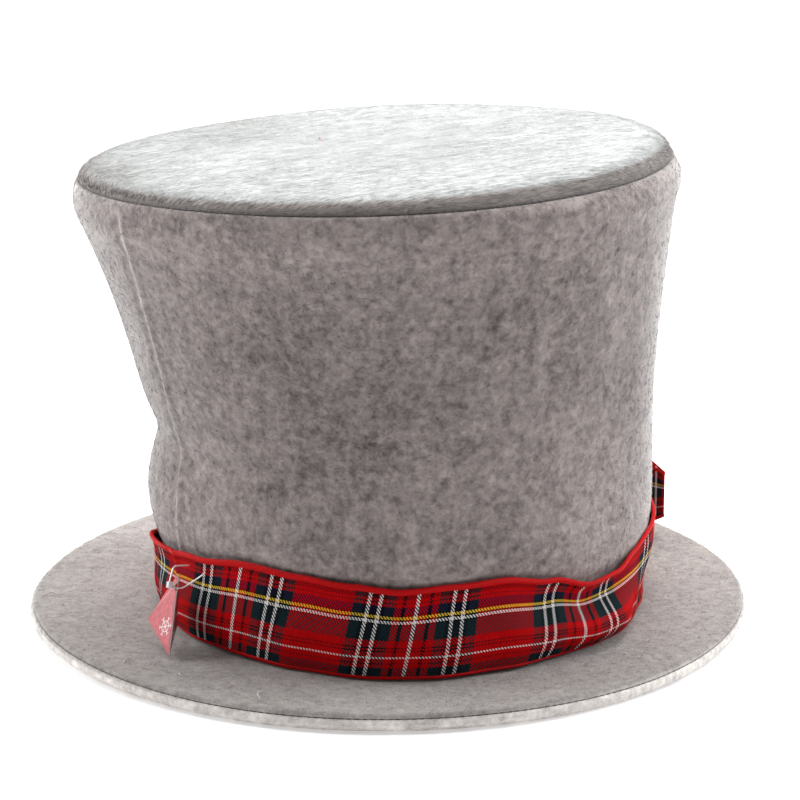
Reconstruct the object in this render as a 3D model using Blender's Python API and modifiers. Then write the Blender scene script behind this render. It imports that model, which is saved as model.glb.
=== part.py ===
"""A brushed-felt top hat with a wired tartan band, a bow and a folded swing tag.

The frame is +Z up with the front at -Y, and the origin is at the middle of the brim's underside.
Everything is in metres. Run it with: blender --background --python part.py
"""

import math

import bmesh
import bpy
from mathutils import Matrix, Vector

# Driving dimensions
HEAD_RADIUS = 0.0953
CROWN_HEIGHT = 0.1960
TOP_SPREAD = 0.0192
BRIM_RADIUS = 0.1500
RIBBON_WIDTH = 0.0380

# The layers of the wall, from the head outwards, and the gap kept between touching pieces
GAP = 0.0003
SWEATBAND = 0.0010
LINING = 0.0008
FOAM = 0.0030
FELT = 0.0020
BRIM_BOARD = 0.0025
BRIM_UNDER = 0.0016

LINING_RADIUS = HEAD_RADIUS + SWEATBAND + GAP
FOAM_RADIUS = LINING_RADIUS + LINING + GAP
FELT_RADIUS = FOAM_RADIUS + FOAM + GAP
CROWN_RADIUS = FELT_RADIUS + FELT
BOARD_Z = BRIM_UNDER + GAP
BRIM_FELT_Z = BOARD_Z + BRIM_BOARD + GAP
BRIM_TOP = BRIM_FELT_Z + FELT
CROWN_FOOT = BRIM_TOP + GAP

# The soft crown leans: it stands off the brim's middle, and its flared top hangs back and tilts
CROWN_SHIFT = 0.0065
TOP_SHIFT = -0.0035
WAIST_Z = 0.0800
SHOULDER_Z = 0.1770
TILT_ACROSS = 0.0450
TILT_BACK = -0.0300
SIDE_HEIGHTS = (0.0800, 0.1120, 0.1450)

# The crown's edge: the side bulges at the shoulder and turns in to the seam with the rounded tip
BULGE_Z = 0.1830
SEAM_Z = 0.1865
BULGE_INSET = 0.0012
SEAM_INSET = 0.0026
TIP_ROUND = 0.0080
TIP_SAG = 0.0012
LOFT = 0.0037
THREAD_RADIUS = 0.0004
TIP_THREAD_RADIUS = 0.00022

# The band stands on the brim and leans in against the crown
BAND_FOOT = BRIM_TOP + 0.0009
BAND_TOP = BAND_FOOT + RIBBON_WIDTH
BAND_FOOT_RADIUS = CROWN_RADIUS + 0.0052
BAND_TOP_RADIUS = CROWN_RADIUS + 0.0028
RIBBON = 0.0006
HEM_HEIGHT = 0.0045
HEM_HALF = 0.0013
HEM_WALL = 0.00065
WIRE_RADIUS = 0.00025

# The bow, at the right of the back: its ribbon is gathered in the knot and opens out past it
BOW_ANGLE = math.radians(60.0)
BOW_STANDOFF = 0.0042
BOW_HEIGHT = 0.0260
BOW_RIBBON = 0.0008
NECK_START = 0.0030
NECK_END = 0.0105
NECK_HEIGHT = 0.0120
LOOP_LENGTH = 0.0650
LOOP_BELLY = 0.0210
LOOP_END_HEIGHT = 0.0210
LOOP_DEPTH = 0.0085
LOOP_LEG_GAP = 0.0034
TAIL_WIDTH = 0.0300
TAIL_NOTCH = 0.0110
LOOP_INNER_SHARE = 0.35
TAILS = (("bow_right_tail", 0.0370, 66.0, 1.0), ("bow_left_tail", 0.0420, 62.0, -1.0))
KNOT_HALF = Vector((0.0080, 0.0053, 0.0078))
KNOT_MIDDLE = 0.0015
KNOT_WALL = 0.0008

# The tag: a square card creased down its diagonal, hanging by the hole in the crease
CARD_SIDE = 0.0240
CARD = 0.0004
CREASE_GAP = 0.0010
CARD_HOLE = 0.0017
HOLE_DROP = 0.0055
CARD_TOP = Vector((-0.0823, -0.0703, 0.0370))
CARD_LEAN = Vector((0.094, 0.532, 0.841))
LEFT_LEAF_TURN = math.radians(-38.0)
RIGHT_LEAF_TURN = math.radians(4.0)

# The moulded loop through the band and the card, closed by a lock beside the card
PIERCE_ANGLE = math.radians(-139.5)
PIERCE_Z = 0.0385
PIERCE_SPREAD = 0.0104
PIERCE_HOLE = 0.0017
BEHIND_BAND = 0.0016
FILAMENT_RADIUS = 0.00035
LOCK_TURN = math.radians(-120.0)
LOCK_OUT = 0.0034
LOCK_SIZE = 0.0022

# The care label, sewn in at the back above the sweatband
SWEATBAND_FOOT = 0.0008
SWEATBAND_HEIGHT = 0.0280
LABEL_SIZE = Vector((0.0200, 0.0004, 0.0250))

STEPS = 40
MERGE = 0.0001

FELT_GREY = (0.36, 0.335, 0.33, 1.0)
LINING_BLACK = (0.03, 0.03, 0.032, 1.0)
FOAM_WHITE = (0.75, 0.74, 0.70, 1.0)
BOARD_GREY = (0.45, 0.44, 0.42, 1.0)
RIBBON_RED = (0.42, 0.01, 0.012, 1.0)
HEM_RED = (0.55, 0.004, 0.006, 1.0)
CARD_RED = (0.50, 0.06, 0.07, 1.0)
COPPER = (0.72, 0.38, 0.22, 1.0)
NYLON = (0.85, 0.85, 0.86, 1.0)
THREAD_GREY = (0.10, 0.095, 0.095, 1.0)
LABEL_WHITE = (0.85, 0.85, 0.83, 1.0)


def clear_scene():
    for obj in list(bpy.data.objects):
        bpy.data.objects.remove(obj)


def collection(name):
    made = bpy.data.collections.new(name)
    bpy.context.scene.collection.children.link(made)
    return made


def material(name, colour, roughness=0.9, metallic=0.0):
    made = bpy.data.materials.get(name)
    if made is None:
        made = bpy.data.materials.new(name)
        made.use_nodes = True
        shader = made.node_tree.nodes["Principled BSDF"]
        shader.inputs["Base Color"].default_value = colour
        shader.inputs["Roughness"].default_value = roughness
        shader.inputs["Metallic"].default_value = metallic
    return made


def place(obj, group, skin):
    """Puts an object in its collection with its own material."""
    group.objects.link(obj)
    obj.data.materials.clear()
    obj.data.materials.append(skin)
    return obj


def as_mesh(obj):
    """The object as a plain mesh object of the same name, its modifiers applied and its caps welded."""
    holder = collection("making")
    holder.objects.link(obj)
    graph = bpy.context.evaluated_depsgraph_get()
    graph.update()
    mesh = bpy.data.meshes.new_from_object(obj.evaluated_get(graph))
    work = bmesh.new()
    work.from_mesh(mesh)
    bmesh.ops.remove_doubles(work, verts=work.verts, dist=MERGE / 10)
    work.to_mesh(mesh)
    work.free()
    matrix, name = obj.matrix_world.copy(), obj.name
    bpy.data.objects.remove(obj)
    bpy.data.collections.remove(holder)
    made = bpy.data.objects.new(name, mesh)
    made.matrix_world = matrix
    return made


def turned(name, outline):
    """A solid of revolution about Z. The outline is a closed loop of (radius, z), clockwise with +Z up;
    points on the axis are its first and last."""
    mesh = bpy.data.meshes.new(name)
    closed = min(radius for radius, _ in outline) > 0
    edges = [(i, i + 1) for i in range(len(outline) - 1)]
    if closed:
        edges.append((len(outline) - 1, 0))
    mesh.from_pydata([(radius, 0.0, z) for radius, z in outline], edges, [])
    obj = bpy.data.objects.new(name, mesh)
    screw = obj.modifiers.new("turn", "SCREW")
    screw.steps = screw.render_steps = STEPS
    screw.use_merge_vertices = True
    screw.merge_threshold = MERGE / 10
    obj = as_mesh(obj)
    work = bmesh.new()
    work.from_mesh(obj.data)
    bmesh.ops.recalc_face_normals(work, faces=work.faces)
    work.to_mesh(obj.data)
    work.free()
    obj.data.shade_smooth()
    obj.data.set_sharp_from_angle(angle=math.radians(40.0))
    return obj


def thread_ring(name, radius, z, thickness=THREAD_RADIUS, sides=4):
    """A ring of round section, such as a line of stitching or a wire."""
    turns = [2 * math.pi * i / sides for i in range(sides)]
    section = [(radius + thickness * math.cos(a), z - thickness * math.sin(a)) for a in turns]
    return turned(name, section)


def slump(z):
    """How far up the flare a height is: 0 up to the waist, 1 at the shoulder, and a little more above."""
    return max(0.0, (z - WAIST_Z) / (SHOULDER_Z - WAIST_Z))


def lean_crown(obj):
    """Moves a crown layer as the soft crown leans: sideways with height, and its top out of level."""
    for vertex in obj.data.vertices:
        x, y, z = vertex.co
        share = slump(z)
        vertex.co.x = x + CROWN_SHIFT + (TOP_SHIFT - CROWN_SHIFT) * share
        vertex.co.z = z + share * (TILT_ACROSS * x + TILT_BACK * y)
    return obj


def settle_brim(obj):
    """Moves a brim layer's head opening under the crown, and leaves its edge round the origin."""
    for vertex in obj.data.vertices:
        reach = math.hypot(vertex.co.x, vertex.co.y)
        share = (BRIM_RADIUS - reach) / (BRIM_RADIUS - LINING_RADIUS)
        vertex.co.x += CROWN_SHIFT * min(1.0, max(0.0, share))
    return obj


def beside_crown(obj):
    """Moves a piece that goes round the crown's foot, or lies in it, onto the crown's axis."""
    obj.data.transform(Matrix.Translation((CROWN_SHIFT, 0.0, 0.0)))
    return obj


def flare(z):
    """The crown's outer radius up to the shoulder: straight to the waist, then opening out."""
    return CROWN_RADIUS + TOP_SPREAD * slump(z) ** 1.25


SHOULDER_RADIUS = flare(SHOULDER_Z)
SEAM_RADIUS = SHOULDER_RADIUS - SEAM_INSET


def wall(inset, thickness, top_z):
    """The outline of one layer of the crown's side, from its foot, over the shoulder and in to its top."""
    course = [(flare(z), z) for z in (CROWN_FOOT, *SIDE_HEIGHTS, SHOULDER_Z)]
    course += [(SHOULDER_RADIUS - BULGE_INSET, BULGE_Z), (SEAM_RADIUS, top_z)]
    outer = [(radius - inset, z) for radius, z in course]
    inner = [(radius - inset - thickness, z) for radius, z in course]
    return outer[::-1] + inner


def dome(radius, foot_z, top_z, round_radius, corners=3):
    """The profile of the slightly domed top, from its rounded edge to the axis."""
    rise = top_z - TIP_SAG - foot_z
    turns = [math.pi / 2 * i / corners for i in range(corners + 1)]
    arc = [(radius - round_radius * (1 - math.cos(a)), foot_z + rise * math.sin(a)) for a in turns]
    return arc + [(0.0, top_z)]


def crown_pieces():
    """The crown, from the felt inwards: sides, the round tip, and the seam that joins them."""
    foam_inset = FELT + GAP
    lining_inset = foam_inset + FOAM + GAP
    tip_foot = SEAM_Z + 2 * (GAP + TIP_THREAD_RADIUS)
    tip = dome(SEAM_RADIUS, tip_foot, CROWN_HEIGHT, TIP_ROUND)[::-1]
    tip += dome(SEAM_RADIUS - FELT, tip_foot, CROWN_HEIGHT - FELT, TIP_ROUND - FELT)
    foam_radius, foam_top = SEAM_RADIUS - foam_inset, CROWN_HEIGHT - foam_inset
    foam = dome(foam_radius, tip_foot, foam_top, TIP_ROUND - foam_inset)[::-1]
    foam += [(foam_radius - FOAM, tip_foot), (foam_radius - 2.5 * FOAM, foam_top - FOAM - TIP_SAG)]
    foam += [(0.0, foam_top - FOAM)]
    lining_z = SEAM_Z - 2 * LINING
    lining_radius = SEAM_RADIUS - lining_inset - LINING - GAP
    lining = [(0.0, lining_z + LINING), (lining_radius, lining_z + LINING)]
    lining += [(lining_radius, lining_z), (0.0, lining_z)]
    seam = thread_ring("crown_tip_seam", SEAM_RADIUS - FELT / 2, (SEAM_Z + tip_foot) / 2, TIP_THREAD_RADIUS)
    made = [
        (turned("crown_side_felt", wall(0.0, FELT, SEAM_Z)), "felt"),
        (turned("crown_tip_felt", tip), "felt"),
        (turned("crown_side_foam", wall(foam_inset, FOAM, SEAM_Z - GAP)), "foam"),
        (turned("crown_tip_foam", foam), "foam"),
        (turned("crown_side_lining", wall(lining_inset, LINING, SEAM_Z - GAP)), "lining"),
        (turned("crown_tip_lining", lining), "lining"),
        (seam, "thread"),
    ]
    return [(lean_crown(obj), skin) for obj, skin in made]


def brim_pieces():
    """The brim: two cloths round a stiffening board, and the stitching at its edge."""
    board_edge = BRIM_RADIUS - FELT - GAP
    cloth = [
        (LINING_RADIUS, BRIM_TOP),
        (BRIM_RADIUS - 0.0035, BRIM_TOP),
        (BRIM_RADIUS - 0.0010, BRIM_TOP - 0.0012),
        (BRIM_RADIUS, BRIM_TOP - 0.0034),
        (BRIM_RADIUS - 0.0003, BOARD_Z),
        (BRIM_RADIUS - FELT, BOARD_Z),
        (BRIM_RADIUS - FELT, BRIM_FELT_Z),
        (LINING_RADIUS, BRIM_FELT_Z),
    ]
    board = [
        (LINING_RADIUS, BOARD_Z + BRIM_BOARD),
        (board_edge, BOARD_Z + BRIM_BOARD),
        (board_edge, BOARD_Z),
        (LINING_RADIUS, BOARD_Z),
    ]
    under_edge = BRIM_RADIUS - 0.0012
    under = [
        (LINING_RADIUS, BRIM_UNDER),
        (under_edge, BRIM_UNDER),
        (under_edge, 0.0008),
        (under_edge - 0.0010, 0.0),
        (LINING_RADIUS, 0.0),
    ]
    made = [
        (turned("brim_top_felt", cloth), "felt"),
        (turned("brim_board", board), "board"),
        (turned("brim_under_felt", under), "felt"),
        (thread_ring("brim_edge_seam", under_edge + 0.0007, 0.0011, 0.00035), "thread"),
    ]
    return [(settle_brim(obj), skin) for obj, skin in made]


def box(name, size, middle):
    work = bmesh.new()
    bmesh.ops.create_cube(work, size=1.0)
    bmesh.ops.scale(work, vec=size, verts=work.verts)
    bmesh.ops.translate(work, vec=middle, verts=work.verts)
    mesh = bpy.data.meshes.new(name)
    work.to_mesh(mesh)
    work.free()
    return bpy.data.objects.new(name, mesh)


def inside_pieces():
    """The sweatband, the stitching that joins crown and brim, and the care label at the back."""
    band_top = SWEATBAND_FOOT + SWEATBAND_HEIGHT
    band = [
        (HEAD_RADIUS, band_top),
        (HEAD_RADIUS, SWEATBAND_FOOT),
        (HEAD_RADIUS + SWEATBAND, SWEATBAND_FOOT),
        (HEAD_RADIUS + SWEATBAND, band_top),
    ]
    seam = thread_ring("crown_foot_seam", CROWN_RADIUS + 0.0009, BRIM_TOP + 0.0008)
    label_z = band_top + 0.0005 + LABEL_SIZE.z / 2
    label = box("care_label", LABEL_SIZE, Vector((0.0, HEAD_RADIUS + 0.0002, label_z)))
    made = [(turned("sweatband", band), "lining"), (seam, "thread"), (label, "label")]
    return [(beside_crown(obj), skin) for obj, skin in made]


def hem(name, middle, edge_z, up):
    """The folded edge of the ribbon, open towards the ribbon. up is 1 for the top edge, -1 for the lower."""
    inner = HEM_HALF - HEM_WALL
    floor, ceiling, shoulder = edge_z - up * HEM_HEIGHT, edge_z - up * HEM_WALL, edge_z - up * 0.0009
    outline = [
        (middle - HEM_HALF, floor),
        (middle - HEM_HALF, shoulder),
        (middle, edge_z),
        (middle + HEM_HALF, shoulder),
        (middle + HEM_HALF, floor),
        (middle + inner, floor),
        (middle + inner, ceiling),
        (middle - inner, ceiling),
        (middle - inner, floor),
    ]
    return turned(name, outline)


def cylinder(name, radius, length, frame, sides=12):
    """A capped cylinder along a frame's Z, centred on it."""
    work = bmesh.new()
    bmesh.ops.create_cone(
        work, cap_ends=True, segments=sides, radius1=radius, radius2=radius, depth=length
    )
    mesh = bpy.data.meshes.new(name)
    work.to_mesh(mesh)
    work.free()
    mesh.transform(frame)
    return bpy.data.objects.new(name, mesh)


def band_radius(z):
    """The middle of the ribbon, between its foot and its top."""
    share = (z - BAND_FOOT) / RIBBON_WIDTH
    return BAND_FOOT_RADIUS + (BAND_TOP_RADIUS - BAND_FOOT_RADIUS) * share


def pierce_frame():
    """A frame on the band where the tag's loop goes through: X along the band, Y up, Z out of it."""
    out = Vector((math.cos(PIERCE_ANGLE), math.sin(PIERCE_ANGLE), 0.0))
    along = Vector((-out.y, out.x, 0.0))
    reach = band_radius(PIERCE_Z) * math.cos(math.pi / STEPS)
    turn = Matrix((along, Vector((0.0, 0.0, 1.0)), out)).transposed().to_4x4()
    return Matrix.Translation(Vector((CROWN_SHIFT, 0.0, PIERCE_Z)) + out * reach) @ turn


def band_pieces(cutters):
    """The ribbon round the crown with its two hems and their wires, pierced twice for the tag's loop."""
    inset = HEM_WALL + 2 * WIRE_RADIUS + 0.0011
    course = [
        (BAND_FOOT_RADIUS, BAND_FOOT + inset),
        (BAND_FOOT_RADIUS, BAND_FOOT + HEM_HEIGHT),
        (BAND_TOP_RADIUS, BAND_TOP - HEM_HEIGHT),
        (BAND_TOP_RADIUS, BAND_TOP - inset),
    ]
    outline = [(r + RIBBON / 2, z) for r, z in course[::-1]] + [(r - RIBBON / 2, z) for r, z in course]
    ribbon = beside_crown(turned("band_ribbon", outline))
    for side in (-1, 1):
        middle = pierce_frame() @ Matrix.Translation((side * PIERCE_SPREAD / 2, 0.0, 0.0))
        hole = cylinder("pierce_hole", PIERCE_HOLE, 0.0040, middle)
        hole.hide_render = True
        hole.display_type = "WIRE"
        cutters.objects.link(hole)
        cut = ribbon.modifiers.new("pierce", "BOOLEAN")
        cut.object = hole
    wire = HEM_WALL + GAP + WIRE_RADIUS
    made = [
        (hem("band_lower_hem", BAND_FOOT_RADIUS, BAND_FOOT, -1), "hem"),
        (hem("band_upper_hem", BAND_TOP_RADIUS, BAND_TOP, 1), "hem"),
        (thread_ring("band_lower_wire", BAND_FOOT_RADIUS, BAND_FOOT + wire, WIRE_RADIUS), "wire"),
        (thread_ring("band_upper_wire", BAND_TOP_RADIUS, BAND_TOP - wire, WIRE_RADIUS), "wire"),
    ]
    return [(ribbon, "ribbon")] + [(beside_crown(obj), skin) for obj, skin in made]


def ribbon_sheet(name, across, along, shape):
    """A strip of ribbon: a grid whose points are placed by shape(u, v), each from 0 to 1, then thickened."""
    work = bmesh.new()
    bmesh.ops.create_grid(work, x_segments=along, y_segments=across, size=0.5)
    for vertex in work.verts:
        vertex.co = shape(vertex.co.x + 0.5, vertex.co.y + 0.5)
    mesh = bpy.data.meshes.new(name)
    work.to_mesh(mesh)
    work.free()
    obj = bpy.data.objects.new(name, mesh)
    solid = obj.modifiers.new("cloth", "SOLIDIFY")
    solid.thickness = BOW_RIBBON
    solid.offset = 0.0
    return obj


def bow_frame():
    """A frame on the band at the bow: X along the band to the hat's right, Y out of it, Z up."""
    out = Vector((math.cos(BOW_ANGLE), math.sin(BOW_ANGLE), 0.0))
    along = Vector((out.y, -out.x, 0.0))
    origin = Vector((CROWN_SHIFT, 0.0, BOW_HEIGHT)) + out * (BAND_FOOT_RADIUS + BOW_STANDOFF)
    turn = Matrix((along, out, Vector((0.0, 0.0, 1.0)))).transposed().to_4x4()
    return Matrix.Translation(origin) @ turn


def loop_point(side):
    """A bow loop: a teardrop seen from above, gathered in the knot and tallest at its middle."""

    def shape(u, v):
        turn = 2 * math.pi * u
        reach = NECK_START + (LOOP_LENGTH - NECK_START) * (1 - math.cos(turn)) / 2
        share = max(0.0, (reach - NECK_END) / (LOOP_LENGTH - NECK_END))
        belly = LOOP_DEPTH * math.sin(turn) * math.sin(math.pi * share ** 0.8)
        if u > 0.5:
            belly *= LOOP_INNER_SHARE
        depth = belly + LOOP_LEG_GAP / 2 * math.cos(math.pi * u) + 0.0050 * share
        height = NECK_HEIGHT + LOOP_BELLY * math.sin(math.pi * share)
        height += (LOOP_END_HEIGHT - NECK_HEIGHT) * share
        return Vector((side * reach, depth, height * (v - 0.5)))

    return shape


def tail_point(length, heading, side):
    """A bow tail: out of the knot, down to the brim and along it on a heading, ending in a swallowtail."""
    ahead = Vector((side * math.cos(math.radians(heading)), math.sin(math.radians(heading)), 0.0))
    across = Vector((side * ahead.y, -side * ahead.x, 0.0))
    neck = Vector((side * NECK_END, 0.0042, 0.0))
    rest_z = BRIM_TOP + BOW_RIBBON - BOW_HEIGHT

    def shape(u, v):
        notch = TAIL_NOTCH * (1 - abs(2 * v - 1)) * max(0.0, u - 0.8) / 0.2
        reach = NECK_START - NECK_END + length * u - notch
        spread = min(1.0, max(0.0, reach / 0.0200))
        upright = math.radians(90.0 - 86.0 * spread)
        half = (NECK_HEIGHT + (TAIL_WIDTH - NECK_HEIGHT) * spread) / 2
        rise = half * math.sin(upright)
        z = rest_z * spread + rise * (2 * v - 1) + rise * spread
        level = neck + across * (half * (2 * v - 1) * math.cos(upright)) + Vector((0.0, 0.0, z))
        return level + (ahead * reach if reach > 0 else Vector((side * reach, 0.0, 0.0)))

    return shape


def bow_knot():
    """The short strip wrapped round the middle of the bow, open at its two sides."""
    outer, inner = KNOT_HALF, KNOT_HALF - Vector((0.0, KNOT_WALL, KNOT_WALL))
    outline = bpy.data.curves.new("bow_knot", "CURVE")
    outline.dimensions = "2D"
    outline.fill_mode = "BOTH"
    outline.extrude = outer.x
    for half in (outer, inner):
        corner = half.y * 0.3
        add_outline(outline, [
            (half.y, half.z - corner), (half.y - corner, half.z), (corner - half.y, half.z),
            (-half.y, half.z - corner), (-half.y, corner - half.z), (corner - half.y, -half.z),
            (half.y - corner, -half.z), (half.y, corner - half.z),
        ])
    knot = as_mesh(bpy.data.objects.new("bow_knot", outline))
    axes = Matrix(((0.0, 0.0, 1.0), (1.0, 0.0, 0.0), (0.0, 1.0, 0.0))).to_4x4()
    knot.data.transform(Matrix.Translation((0.0, KNOT_MIDDLE, 0.0)) @ axes)
    return knot


def bow_pieces():
    """The bow: two loops and two tails gathered in the knot."""
    made = [
        ribbon_sheet("bow_right_loop", 2, 24, loop_point(1)),
        ribbon_sheet("bow_left_loop", 2, 24, loop_point(-1)),
    ]
    made += [ribbon_sheet(name, 4, 12, tail_point(*shape)) for name, *shape in TAILS]
    made.append(bow_knot())
    for obj in made:
        obj.matrix_world = bow_frame()
    return [(obj, "ribbon") for obj in made]


def hole_place():
    """The hole's middle, on the crease."""
    return CARD_TOP - CARD_LEAN.normalized() * HOLE_DROP


def card_frame(turn):
    """A frame on a leaf, at the hole: Y up the crease, X across the leaf, turned about the crease."""
    up = CARD_LEAN.normalized()
    back = Vector((0.0, 1.0, 0.0))
    across = (back - up * back.dot(up)).normalized()
    across = Matrix.Rotation(-turn, 3, up) @ across
    axes = Matrix((across, up, across.cross(up))).transposed().to_4x4()
    return Matrix.Translation(hole_place()) @ axes


def add_outline(curve, points):
    spline = curve.splines.new("POLY")
    spline.points.add(len(points) - 1)
    for point, (x, y) in zip(spline.points, points):
        point.co = (x, y, 0.0, 1.0)
    spline.use_cyclic_u = True


def leaf(name, turn):
    """Half of the square card, from its crease to one corner, with half of the hole in its edge."""
    half = CARD_SIDE / math.sqrt(2.0)
    outline = bpy.data.curves.new(name, "CURVE")
    outline.dimensions = "2D"
    outline.fill_mode = "BOTH"
    outline.extrude = CARD / 2
    foot = HOLE_DROP - 2 * half
    points = [(CREASE_GAP, foot + CREASE_GAP), (half, foot + half), (CREASE_GAP, HOLE_DROP - CREASE_GAP)]
    reach = math.acos(CREASE_GAP / CARD_HOLE)
    turns = [reach * (1 - i / 3) for i in range(7)]
    points += [(CARD_HOLE * math.cos(a), CARD_HOLE * math.sin(a)) for a in turns]
    add_outline(outline, points)
    obj = bpy.data.objects.new(name, outline)
    obj.matrix_world = card_frame(turn)
    return as_mesh(obj)


def tag_loop():
    """The moulded loop: through both holes in the band, and round the card's top corner through its hole."""
    band, card = pierce_frame(), card_frame(LOCK_TURN)
    edge, behind = PIERCE_SPREAD / 2, Vector((0.0, 0.0, -BEHIND_BAND))
    down = (band.inverted() @ hole_place()).normalized()
    inward = down * -BEHIND_BAND
    inward.x = 0.0
    near, far = Vector((-edge, 0.0, 0.0)), Vector((edge, 0.0, 0.0))
    route = [band @ (near + inward + Vector((0.0012, 0.0, 0.0))), band @ near]
    beyond_corner, beside_corner = (0.0020, HOLE_DROP + 0.0024, 0.0), (0.0032, HOLE_DROP - 0.0010, 0.0)
    for point in (beyond_corner, beside_corner, (LOCK_OUT, 0.0, 0.0), (-0.0024, 0.0, 0.0)):
        route.append(card @ Vector(point))
    route += [band @ far, band @ (far + inward - Vector((0.0012, 0.0, 0.0)))]
    curve = bpy.data.curves.new("tag_loop", "CURVE")
    curve.dimensions = "3D"
    curve.bevel_depth = FILAMENT_RADIUS
    curve.bevel_resolution = 1
    spline = curve.splines.new("POLY")
    spline.points.add(len(route) - 1)
    spline.use_cyclic_u = True
    for point, place_at in zip(spline.points, route):
        point.co = (*(band.inverted() @ place_at), 1.0)
    loop = bpy.data.objects.new("tag_loop", curve)
    loop.matrix_world = band
    return as_mesh(loop)


def tag_lock(cutters):
    """The small block of the lock, in the card's frame at the end of the loop."""
    lock = box("lock", Vector((LOCK_SIZE, 1.3 * LOCK_SIZE, LOCK_SIZE)), Vector((LOCK_OUT, 0.0, 0.0)))
    lock.matrix_world = card_frame(LOCK_TURN)
    lock.hide_render = True
    lock.display_type = "WIRE"
    cutters.objects.link(lock)
    return lock


def tag_pieces(cutters):
    """The creased card's two leaves, and the loop that holds it with its lock."""
    loop = tag_loop()
    join = loop.modifiers.new("lock", "BOOLEAN")
    join.operation = "UNION"
    join.object = tag_lock(cutters)
    return [
        (leaf("tag_left_leaf", LEFT_LEAF_TURN), "card"),
        (leaf("tag_right_leaf", RIGHT_LEAF_TURN), "card"),
        (loop, "nylon"),
    ]


def build():
    clear_scene()
    hat = collection("top_hat")
    cutters = collection("cutters")
    skins = {
        "felt": material("felt", FELT_GREY),
        "foam": material("foam", FOAM_WHITE),
        "lining": material("lining", LINING_BLACK, 0.7),
        "board": material("board", BOARD_GREY),
        "ribbon": material("ribbon", RIBBON_RED, 0.6),
        "hem": material("hem", HEM_RED, 0.5),
        "wire": material("wire", COPPER, 0.35, 1.0),
        "card": material("card", CARD_RED, 0.45),
        "nylon": material("nylon", NYLON, 0.3),
        "thread": material("thread", THREAD_GREY),
        "label": material("label", LABEL_WHITE, 0.5),
    }
    pieces = crown_pieces() + brim_pieces() + inside_pieces()
    pieces += band_pieces(cutters) + bow_pieces() + tag_pieces(cutters)
    for obj, skin in pieces:
        place(obj, hat, skins[skin])


build()
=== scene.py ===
"""A top hat of brushed grey felt, with a wired tartan ribbon, a bow behind and a folded paper tag.

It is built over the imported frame, in metres, with +Z up and the front of the hat at -Y.
"""

import math

import bmesh
import bpy
import numpy as np
from mathutils import Matrix, Vector


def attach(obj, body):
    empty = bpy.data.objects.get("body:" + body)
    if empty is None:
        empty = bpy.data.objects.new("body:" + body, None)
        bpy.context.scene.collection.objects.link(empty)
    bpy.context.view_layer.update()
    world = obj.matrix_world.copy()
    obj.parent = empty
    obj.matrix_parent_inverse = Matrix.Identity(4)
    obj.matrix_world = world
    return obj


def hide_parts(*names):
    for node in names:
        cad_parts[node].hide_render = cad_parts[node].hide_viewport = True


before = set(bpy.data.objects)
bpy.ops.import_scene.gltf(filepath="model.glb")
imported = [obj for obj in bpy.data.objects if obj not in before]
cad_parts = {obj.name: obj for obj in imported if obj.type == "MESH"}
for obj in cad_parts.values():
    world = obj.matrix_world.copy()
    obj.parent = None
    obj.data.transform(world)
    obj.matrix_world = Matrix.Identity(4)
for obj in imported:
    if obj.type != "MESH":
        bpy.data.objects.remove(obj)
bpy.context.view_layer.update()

# Camera, light and floor
# The hat stands on a wide sheet of faintly glowing card. A broad soft box hangs over it and behind,
# so the tip and the brim are bright, and the front of the crown is in soft shade.
AIM = Vector((0.0056, 0.0, 0.0886))
CAMERA_DISTANCE = 1.352
CAMERA_RISE = math.radians(15.78)
CARD_HALF = 4.0
CARD_DROP = 0.0002


def aimed(name, data, place, aim):
    """An object at a place, whose -Z looks at the aim."""
    obj = bpy.data.objects.new(name, data)
    obj.location = place
    obj.rotation_euler = (aim - place).to_track_quat("-Z", "Y").to_euler()
    bpy.context.scene.collection.objects.link(obj)
    return obj


def soft_box(name, place, size, power):
    lamp = bpy.data.lights.new(name, "AREA")
    lamp.size = size
    lamp.energy = power
    return aimed(name, lamp, Vector(place), AIM)


lens = bpy.data.cameras.new("camera")
lens.lens = 147.06
lens.sensor_width = 36.0
off = Vector((0.0, -math.cos(CAMERA_RISE), math.sin(CAMERA_RISE)))
bpy.context.scene.camera = aimed("camera", lens, AIM + off * CAMERA_DISTANCE, AIM)
bpy.context.scene.view_settings.view_transform = "Standard"

soft_box("overhead_box", (0.06, 0.60, 1.60), 1.6, 58.0)
soft_box("left_box", (-1.6, 0.5, 0.9), 1.0, 25.0)
soft_box("right_box", (1.6, 0.3, 0.9), 1.0, 22.0)
room = bpy.data.worlds.new("studio")
room.use_nodes = True
room.node_tree.nodes["Background"].inputs["Color"].default_value = (1.0, 1.0, 1.0, 1.0)
room.node_tree.nodes["Background"].inputs["Strength"].default_value = 0.22
bpy.context.scene.world = room


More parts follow.
